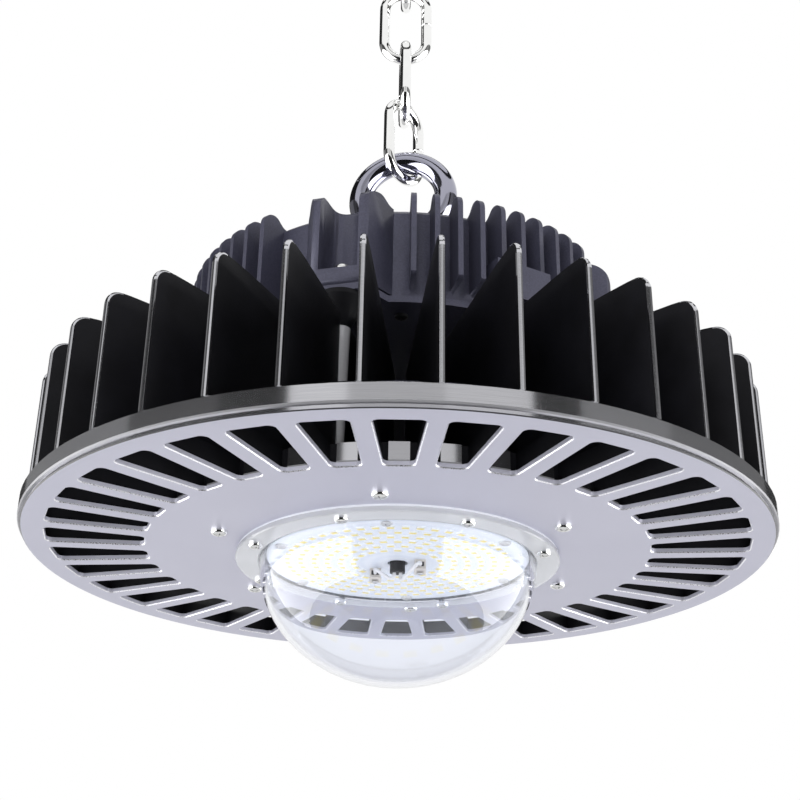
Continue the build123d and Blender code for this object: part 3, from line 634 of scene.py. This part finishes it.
def makePackages():
    bm = copyNode("led_chips")
    fronts = [face for face in bm.faces if face.normal.z < -facing]
    bmesh.ops.inset_individual(
        bm, faces=fronts, thickness=boardSet["packageRim"], depth=-boardSet["packageSink"]
    )
    for face in fronts:
        face.material_index = 1
    housing = plainFinish(
        "packageHousing", {"colour": boardSet["housing"], "shade": 0.96, "roughness": (0.35, 0.5)}
    )
    phosphor = plainFinish(
        "packagePhosphor",
        {
            "colour": boardSet["phosphor"],
            "shade": 0.9,
            "roughness": (0.3, 0.45),
            "cloudScale": 700.0,
            "grainScale": 4000.0,
        },
    )
    makePiece(bm, "lightPackages", [housing, phosphor], "lamp", ["led_chips"])


dressNode("led_board", boardMaterial())
makePackages()
dressNode(
    "thermal_pad",
    plainFinish("heatPad", {"colour": (0.50, 0.55, 0.58), "roughness": (0.6, 0.8), "grainDepth": 0.0001}),
)
print("board dressed")


# Terminal blocks, leads and cable end on the board
terminalSet = {
    "body": (0.78, 0.74, 0.68),
    "clamp": (0.62, 0.58, 0.54),
    "places": [(-0.010, 0.012), (0.010, -0.002)],
    "height": 0.0046,
    "entryRim": 0.0011,
    "entrySink": 0.0012,
    "topFacing": 0.95,
    "clampRim": 0.0007,
    "clampSink": 0.0002,
    "boardFace": -0.0021,
    "screwShift": 0.002,
    "screwRadius": 0.0015,
    "screwRise": 0.0008,
    "screwShank": 0.0008,
    "screwLength": 0.0002,
}


def makeTerminals():
    size = terminalSet
    bm = copyNode("terminal_blocks")
    # the sunk cable entries take the near-black recess finish: painted shade in the holes
    entries = [face for face in bm.faces if face.normal.y < -facing]
    bmesh.ops.inset_individual(bm, faces=entries, thickness=size["entryRim"], depth=-size["entrySink"])
    for face in entries:
        face.material_index = 1
    tops = [face for face in bm.faces if face.normal.z < -size["topFacing"]]
    bmesh.ops.inset_individual(bm, faces=tops, thickness=size["clampRim"], depth=-size["clampSink"])
    for face in tops:
        face.material_index = 2
    bodyMaterial = plainFinish("terminalMoulding", {"colour": size["body"], "roughness": (0.4, 0.55)})
    clamp = plainFinish(
        "terminalClamp", {"colour": size["clamp"], "metallic": 1.0, "roughness": (0.22, 0.36)}
    )
    makePiece(
        bm, "terminalBlocks", [bodyMaterial, paintedRecessShade, clamp], "lamp", ["terminal_blocks"]
    )
    screw = {
        "head": size["screwRadius"], "rise": size["screwRise"],
        "shank": size["screwShank"], "length": size["screwLength"],
    }
    low = faceLevel + size["boardFace"] - size["height"]
    bm = bmesh.new()
    for x, y in size["places"]:
        place = Matrix.Translation((x, y + size["screwShift"], low)) @ Matrix.Rotation(math.pi, 4, "X")
        addScrew(bm, screw, place)
    makePiece(bm, "terminalScrews", [screwMetal, paintedRecessShade], "lamp", ["terminal_screws"])


makeTerminals()
sheath = plainFinish(
    "blackSheath",
    {"colour": (0.006, 0.006, 0.008), "specular": 0.2, "roughness": (0.38, 0.52), "grainScale": 900.0},
)
whiteLead = plainFinish(
    "whiteLead", {"colour": (0.86, 0.86, 0.87), "shade": 0.95, "roughness": (0.3, 0.42)}
)
blackRubber = plainFinish(
    "blackRubber", {"colour": (0.014, 0.014, 0.015), "roughness": (0.55, 0.72), "grainDepth": 0.00004}
)
dressNode("led_cable", sheath)
for name in ("led_lead_left", "led_lead_right"):
    dressNode(name, whiteLead)
for name in ("wire_grommet", "driver_gasket", "gland_seal"):
    dressNode(name, blackRubber)
print("terminals and leads made")


# Driver housing: cast shell with a satin powder coat
driverSet = {
    "coat": (0.028, 0.028, 0.043),
    "coatLight": (0.050, 0.050, 0.075),
    "speckle": 1300.0,
    "cloudScale": 35.0,
    "speckleShare": 0.6,
    "specular": 0.6,
    "glint": (0.80, 0.80, 1.0, 1),
    "roughness": (0.34, 0.46),
    "reliefDepth": 0.00006,
    "reliefStrength": 0.45,
}


def driverMaterial():
    look = driverSet
    material, tree, shader = newMaterial("satinPowderCoat")
    where = position(tree)
    speckle = noise(tree, where, look["speckle"], 2.0)
    cloud = noise(tree, where, look["cloudScale"])
    fine = calc(tree, "MULTIPLY", speckle, look["speckleShare"])
    both = calc(tree, "ADD", fine, calc(tree, "MULTIPLY", cloud, 1 - look["speckleShare"]))
    colour = tones(tree, both, [(0.35, look["coat"]), (0.65, look["coatLight"])])
    plug(tree, colour, shader.inputs["Base Color"])
    plug(tree, spread(tree, cloud, *look["roughness"]), shader.inputs["Roughness"])
    shader.inputs["Specular IOR Level"].default_value = look["specular"]
    shader.inputs["Specular Tint"].default_value = look["glint"]
    relief(tree, shader, speckle, look["reliefDepth"], look["reliefStrength"])
    return material


powderCoat = driverMaterial()
makePiece(copyNode("driver_housing"), "driverShell", [powderCoat], "lamp", ["driver_housing"], 28)
makePiece(
    copyNode("driver_base_plate"), "driverFloor", [powderCoat], "lamp", ["driver_base_plate"], 28
)
print("driver dressed")


# Driver electronics
electronicLooks = {
    "circuit_board": {"colour": (0.03, 0.16, 0.07), "roughness": (0.3, 0.45), "cloudScale": 300.0},
    "board_spacers": {"colour": (0.80, 0.80, 0.76), "roughness": (0.4, 0.55)},
    "transformer": {"colour": (0.62, 0.45, 0.10), "shade": 0.6, "roughness": (0.45, 0.6)},
    "input_choke": {
        "colour": (0.45, 0.20, 0.07), "metallic": 0.7, "roughness": (0.3, 0.5), "cloudScale": 400.0,
    },
    "bulk_capacitors": {"colour": (0.05, 0.06, 0.16), "roughness": (0.3, 0.4)},
}
for name, look in electronicLooks.items():
    dressNode(name, plainFinish(name + "Finish", look))


# Cable gland
glandSet = {
    "offset": 0.062,
    "seat": 0.133,
    "height": 0.012,
    "radius": 0.0104,
    "rib": 0.0005,
    "ribs": 18,
    "ribSteps": 4,
    "ribReach": 0.97,
    "upright": 0.2,
    "mouth": 0.0052,
    "inner": 0.0075,
    "roof": 0.002,
    "edge": 0.003,
    "edgeSteps": 5,
}
glandMaterial = plainFinish(
    "blackNylon", {"colour": (0.020, 0.020, 0.021), "roughness": (0.38, 0.52), "grainScale": 2200.0}
)


def makeGlandNut():
    size = glandSet
    low = faceLevel + size["seat"]
    core = size["radius"] - size["rib"]
    points = [(size["inner"], low), (core, low)]
    for index in range(size["edgeSteps"] + 1):
        turn = math.pi / 2 * index / size["edgeSteps"]
        radius = core - size["edge"] * (1 - math.cos(turn))
        points.append((radius, low + size["height"] - size["edge"] * (1 - math.sin(turn))))
    top = low + size["height"]
    points += [(size["mouth"], top), (size["mouth"], top - size["roof"])]
    points += [(size["inner"], top - size["roof"]), (size["inner"], low)]
    bm = bmesh.new()
    steps = size["ribs"] * size["ribSteps"]
    faces = turnProfile(bm, points, steps)[1]
    ribs = []
    for face in faces:
        centre = face.calc_center_median()
        step = int((math.atan2(centre.y, centre.x) % (2 * math.pi)) / (2 * math.pi) * steps)
        onWall = math.hypot(centre.x, centre.y) > core * size["ribReach"]
        onRib = step % size["ribSteps"] < size["ribSteps"] / 2
        if onRib and onWall and abs(face.normal.z) < size["upright"]:
            ribs.append(face)
    raised = bmesh.ops.extrude_face_region(bm, geom=ribs)
    bmesh.ops.delete(bm, geom=ribs, context="FACES")
    for part in raised["geom"]:
        if isinstance(part, bmesh.types.BMVert):
            flat = Vector((part.co.x, part.co.y, 0)).normalized()
            part.co += flat * size["rib"]
    bmesh.ops.translate(bm, verts=bm.verts, vec=(0, size["offset"], 0))
    makePiece(bm, "glandCapNut", [glandMaterial], "lamp", ["gland_nut"], 30)


makeGlandNut()
dressNode("gland_body", glandMaterial)
print("gland made")


# Eye bolt, its washer and lock nut
eyeSet = {
    "ringRadius": 0.022,
    "section": 0.0057,
    "sectionSteps": 32,
    "ringSteps": 96,
    "centre": hinges["lamp_swing"]["pos_m"][2] - faceLevel,
    "turn": turnOf("lamp_swing"),
    "collarRadius": 0.013,
    "collarNeck": 0.0075,
    "collarBottom": 0.153,
    "collarThickness": 0.0035,
    "collarRound": 0.0008,
    "neckSteps": 6,
    "neckSink": 0.6,
    "turnSteps": 64,
    "shank": 0.006,
    "shankEnd": 0.131,
    "thread": 0.00175,
    "threadDepth": 0.0007,
    "finish": (0.38, 0.38, 0.46),
    "roughness": (0.05, 0.10),
    "cloudScale": 30.0,
    "cloudDepth": 0.0002,
    "coat": 0.5,
    "coatRoughness": 0.04,
    "nutReach": 0.009,
    "nutAngle": 0.6,
    "nutBevel": 0.0005,
}


def blackChromeMaterial():
    look = eyeSet
    material, tree, shader = newMaterial("blackChrome")
    cloud = noise(tree, position(tree), look["cloudScale"], 2.0)
    dark = tuple(channel * 0.8 for channel in look["finish"])
    plug(tree, tones(tree, cloud, [(0.3, dark), (0.7, look["finish"])]), shader.inputs["Base Color"])
    plug(tree, spread(tree, cloud, *look["roughness"]), shader.inputs["Roughness"])
    shader.inputs["Metallic"].default_value = 1.0
    shader.inputs["Coat Weight"].default_value = look["coat"]
    shader.inputs["Coat Roughness"].default_value = look["coatRoughness"]
    relief(tree, shader, cloud, look["cloudDepth"], 0.06)
    return material


def makeEyeBolt():
    size = eyeSet
    bm = bmesh.new()
    ring = bmesh.ops.create_circle(bm, segments=size["sectionSteps"], radius=size["section"])["verts"]
    bmesh.ops.translate(bm, verts=ring, vec=(size["ringRadius"], 0, 0))
    ringEdges = list({edge for vert in ring for edge in vert.link_edges})
    bmesh.ops.spin(
        bm,
        geom=ring + ringEdges,
        cent=(0, 0, 0),
        axis=(0, 1, 0),
        angle=2 * math.pi,
        steps=size["ringSteps"],
        use_merge=True,
    )
    centre = Matrix.Translation((0, 0, faceLevel + size["centre"]))
    bmesh.ops.transform(bm, matrix=centre @ Matrix.Rotation(size["turn"], 4, "Z"), verts=bm.verts)
    bmesh.ops.recalc_face_normals(bm, faces=bm.faces)
    low = faceLevel + size["collarBottom"]
    top = low + size["collarThickness"]
    soft = size["collarRound"]
    neckTop = faceLevel + size["centre"] - size["ringRadius"]
    points = [(0, faceLevel + size["shankEnd"])]
    height = faceLevel + size["shankEnd"]
    while height < low - size["thread"]:  # rings that stand for the thread's crests and roots
        points.append((size["shank"] - size["threadDepth"], height))
        points.append((size["shank"], height + size["thread"] / 2))
        height += size["thread"]
    points += [(size["shank"], low), (size["collarRadius"] - soft, low), (size["collarRadius"], low + soft)]
    points += [(size["collarRadius"], top - soft), (size["collarRadius"] - soft, top)]
    for index in range(size["neckSteps"]):
        share = (index + 1) / size["neckSteps"]
        radius = size["collarRadius"] - (size["collarRadius"] - size["collarNeck"]) * math.sqrt(share)
        points.append((radius, top + (neckTop - top) * share))
    points.append((0, neckTop + size["section"] * size["neckSink"]))
    turnProfile(bm, points, size["turnSteps"])
    makePiece(bm, "liftingEye", [blackChromeMaterial()], "lamp", ["eye_bolt"], 40)


def makeEyeNut():
    bm = copyNode("eye_nut")
    rims = [
        edge
        for edge in bm.edges
        if len(edge.link_faces) == 2 and edge.calc_face_angle() > eyeSet["nutAngle"]
        and all(math.hypot(vert.co.x, vert.co.y) > eyeSet["nutReach"] for vert in edge.verts)
    ]
    bmesh.ops.bevel(
        bm, geom=rims, offset=eyeSet["nutBevel"], segments=2, profile=0.5, affect="EDGES", material=-1
    )
    makePiece(bm, "eyeLockNut", [zincSteel], "lamp", ["eye_nut"])


zincSteel = plainFinish(
    "zincSteel", {"colour": (0.55, 0.55, 0.56), "metallic": 1.0, "roughness": (0.24, 0.38)}
)
makeEyeBolt()
makeEyeNut()
dressNode("eye_washer", zincSteel)
print("eye bolt made")


# Chain: closed links of round wire with a weld seam on one leg
chainSet = {
    "wire": 0.0028,
    "width": 0.0282,
    "turns": [turnOf("link_1_swing"), turnOf("link_2_swing"), turnOf("link_3_swing"), math.pi / 2],
    "bodies": ["link_1", "link_2", "link_3", "top_link"],
    "segments": 28,
    "arcSteps": 24,
    "weldBulge": 1.0,
    "weldGroove": 0.93,
    "weldHalf": 0.0014,
    "weldShoulder": 0.5,
    "weldSeam": 0.12,
    "steel": (0.92, 0.92, 0.91),
    "roughness": (0.04, 0.10),
    "cloudScale": 120.0,
    "cloudDepth": 0.00006,
}


def chainMaterial():
    look = chainSet
    material, tree, shader = newMaterial("polishedSteel")
    cloud = noise(tree, position(tree), look["cloudScale"], 3.0)
    dark = tuple(channel * 0.95 for channel in look["steel"])
    plug(tree, tones(tree, cloud, [(0.35, dark), (0.65, look["steel"])]), shader.inputs["Base Color"])
    plug(tree, spread(tree, cloud, *look["roughness"]), shader.inputs["Roughness"])
    shader.inputs["Metallic"].default_value = 1.0
    relief(tree, shader, cloud, look["cloudDepth"], 0.06)
    return material


def makeLink(number, material):
    size = chainSet
    node = "chain_link_" + str(number + 1)
    low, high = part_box(node)
    arc = size["width"] / 2 - size["wire"]
    half = (high[2] - low[2]) / 2 - size["width"] / 2
    bm = bmesh.new()
    ring = bmesh.ops.create_circle(bm, segments=size["segments"], radius=size["wire"])["verts"]
    bmesh.ops.translate(bm, verts=ring, vec=(arc, 0, -half))
    ringEdges = list({edge for vert in ring for edge in vert.link_edges})
    weld, bulge = size["weldHalf"], size["weldBulge"]
    shoulder, seam = weld * size["weldShoulder"], weld * size["weldSeam"]
    rises = [  # height on the leg and share of the wire's radius
        (-weld, 1.0), (-shoulder, bulge), (-seam, bulge), (0.0, size["weldGroove"]),
        (seam, bulge), (shoulder, bulge), (weld, 1.0), (half, 1.0),
    ]
    for side in (1, -1):
        stops = rises if side == 1 else [(half, 1.0)]
        for height, swell in stops:
            grown = bmesh.ops.extrude_edge_only(bm, edges=ringEdges)["geom"]
            ring = [part for part in grown if isinstance(part, bmesh.types.BMVert)]
            ringEdges = [part for part in grown if isinstance(part, bmesh.types.BMEdge)]
            for vert in ring:
                away = vert.co - Vector((side * arc, 0, vert.co.z))
                away *= size["wire"] * swell / away.length
                vert.co = Vector((side * arc, 0, side * height)) + away
        arcMade = bmesh.ops.spin(
            bm,
            geom=ring + ringEdges,
            cent=(0, 0, side * half),
            axis=(0, -1, 0),
            angle=math.pi,
            steps=size["arcSteps"],
        )["geom_last"]
        ring = [part for part in arcMade if isinstance(part, bmesh.types.BMVert)]
        ringEdges = [part for part in arcMade if isinstance(part, bmesh.types.BMEdge)]
    bmesh.ops.remove_doubles(bm, verts=bm.verts, dist=0.00001)
    bmesh.ops.recalc_face_normals(bm, faces=bm.faces)
    centre = Matrix.Translation((0, 0, (low[2] + high[2]) / 2))
    turn = Matrix.Rotation(size["turns"][number], 4, "Z")
    bmesh.ops.transform(bm, matrix=centre @ turn, verts=bm.verts)
    makePiece(bm, "weldedLink" + str(number + 1), [material], size["bodies"][number], [node], 50)


linkSteel = chainMaterial()
for number in range(len(chainSet["turns"])):
    makeLink(number, linkSteel)
print("chain made")


# Floor, light and surroundings
studioSet = {
    "floorLevel": -1.55,
    "floorRadius": 3.0,
    "floorColour": (0.80, 0.80, 0.81),
    "fill": 0.62,
    "lamps": {
        "frontSoftbox": {"place": (-0.5, -1.9, 0.55), "size": (1.5, 1.0), "power": 24.0},
        "leftSoftbox": {"place": (-1.9, -0.4, 0.3), "size": (1.2, 1.0), "power": 9.0},
        "rightSoftbox": {"place": (1.8, -0.9, 0.4), "size": (1.0, 1.0), "power": 7.0},
        "lowFill": {"place": (0.0, -1.0, -1.35), "size": (1.6, 1.2), "power": 16.0},
    },
    "aim": (0.0, 0.0, -0.30),
    # reflections: start and stop round the lamp in degrees, low and high level, brightness
    "cards": [
        # the rim
        (-165, -140, 0.2, 0.85, 0.04), (-140, -80, 0.2, 0.85, 0.24), (-80, -50, 0.2, 0.85, 0.09),
        (-50, -30, 0.2, 0.85, 0.04), (-30, -14, 0.2, 0.85, 0.85), (-14, 12, 0.2, 0.85, 0.58),
        (12, 36, 0.2, 0.85, 0.72), (36, 50, 0.2, 0.85, 0.04), (50, 80, 0.2, 0.85, 0.24),
        (80, 132, 0.2, 0.85, 0.16), (132, 152, 0.2, 0.85, 0.04),
        # the chain and the eye
        (-170, -58, 0.85, 1.85, 0.02), (-180, 180, 1.85, 2.6, 0.02),
        # the dome and the screws
        (-126, -36, -1.6, 0.15, 4.4), (36, 126, -1.6, 0.15, 4.4), (-34, 34, -1.5, 0.1, 0.02),
    ],
    "cardRadius": 1.7,
    "cardSteps": 12,
    "floorCard": {"radii": (0.30, 1.7), "level": -1.5, "half": 75, "brightness": 0.03},
}


def makeFloor():
    bm = bmesh.new()
    bmesh.ops.create_circle(bm, cap_ends=True, segments=64, radius=studioSet["floorRadius"])
    bmesh.ops.translate(bm, verts=bm.verts, vec=(0, 0, studioSet["floorLevel"]))
    mesh = bpy.data.meshes.new("studioFloor")
    bm.to_mesh(mesh)
    bm.free()
    mesh.materials.append(
        plainFinish(
            "paleFloor",
            {"colour": studioSet["floorColour"], "shade": 0.98, "roughness": (0.7, 0.8), "cloudScale": 2.0,
             "grainScale": 40.0},
        )
    )
    floor = bpy.data.objects.new("studioFloor", mesh)
    scene.collection.objects.link(floor)


def makeLamps():
    aim = Vector(studioSet["aim"])
    for name, size in studioSet["lamps"].items():
        data = bpy.data.lights.new(name, "AREA")
        data.shape = "RECTANGLE"
        data.size, data.size_y = size["size"]
        data.energy = size["power"]
        lamp = bpy.data.objects.new(name, data)
        scene.collection.objects.link(lamp)
        place = Vector(size["place"])
        turn = (aim - place).to_track_quat("-Z", "Y").to_matrix().to_4x4()
        lamp.matrix_world = Matrix.Translation(place) @ turn
        lamp.visible_camera = False
        lamp.visible_glossy = False
        lamp.visible_transmission = False


def makeCards():  # dark and bright cards round the lamp, seen only in reflections
    radius = studioSet["cardRadius"]
    cards = [(a, b, radius, low, radius, high, grey) for a, b, low, high, grey in studioSet["cards"]]
    onFloor = studioSet["floorCard"]
    inner, outer = onFloor["radii"]
    level, half = onFloor["level"], onFloor["half"]
    cards.append((-half, half, inner, level, outer, level, onFloor["brightness"]))
    for index, (start, stop, lowRadius, lowLevel, highRadius, highLevel, grey) in enumerate(cards):
        bm = bmesh.new()
        turn = math.radians(start - 90)
        outward = Vector((math.cos(turn), math.sin(turn), 0))
        low = bm.verts.new(outward * lowRadius + Vector((0, 0, lowLevel)))
        high = bm.verts.new(outward * highRadius + Vector((0, 0, highLevel)))
        upright = bm.edges.new((low, high))
        bmesh.ops.spin(
            bm,
            geom=[low, high, upright],
            cent=(0, 0, 0),
            axis=(0, 0, 1),
            angle=math.radians(stop - start),
            steps=studioSet["cardSteps"],
        )
        name = "reflectionCard" + str(index + 1)
        mesh = bpy.data.meshes.new(name)
        bm.to_mesh(mesh)
        bm.free()
        material = bpy.data.materials.new(name)
        material.use_nodes = True
        tree = material.node_tree
        tree.nodes.clear()
        glow = tree.nodes.new("ShaderNodeEmission")
        glow.inputs["Color"].default_value = (1, 1, 1, 1)
        glow.inputs["Strength"].default_value = grey
        plug(tree, glow.outputs["Emission"], tree.nodes.new("ShaderNodeOutputMaterial").inputs["Surface"])
        mesh.materials.append(material)
        card = bpy.data.objects.new(name, mesh)
        scene.collection.objects.link(card)
        card.visible_camera = False
        card.visible_diffuse = False
        card.visible_transmission = False
        card.visible_shadow = False


def makeWorld():  # white where it is seen, reflected or looked through, a softer grey as light
    world = bpy.data.worlds.new("studioWorld")
    scene.world = world
    world.use_nodes = True
    tree = world.node_tree
    tree.nodes.clear()
    path = tree.nodes.new("ShaderNodeLightPath")
    seen = calc(tree, "MAXIMUM", path.outputs["Is Camera Ray"], path.outputs["Is Glossy Ray"])
    seen = calc(tree, "MAXIMUM", seen, path.outputs["Is Transmission Ray"])
    backdrop = tree.nodes.new("ShaderNodeBackground")
    plug(tree, spread(tree, seen, studioSet["fill"], 1.0), backdrop.inputs["Strength"])
    backdrop.inputs["Color"].default_value = (1, 1, 1, 1)
    plug(tree, backdrop.outputs["Background"], tree.nodes.new("ShaderNodeOutputWorld").inputs["Surface"])


makeFloor()
makeLamps()
makeCards()
makeWorld()
scene.view_settings.view_transform = "Standard"
print("studio ready")
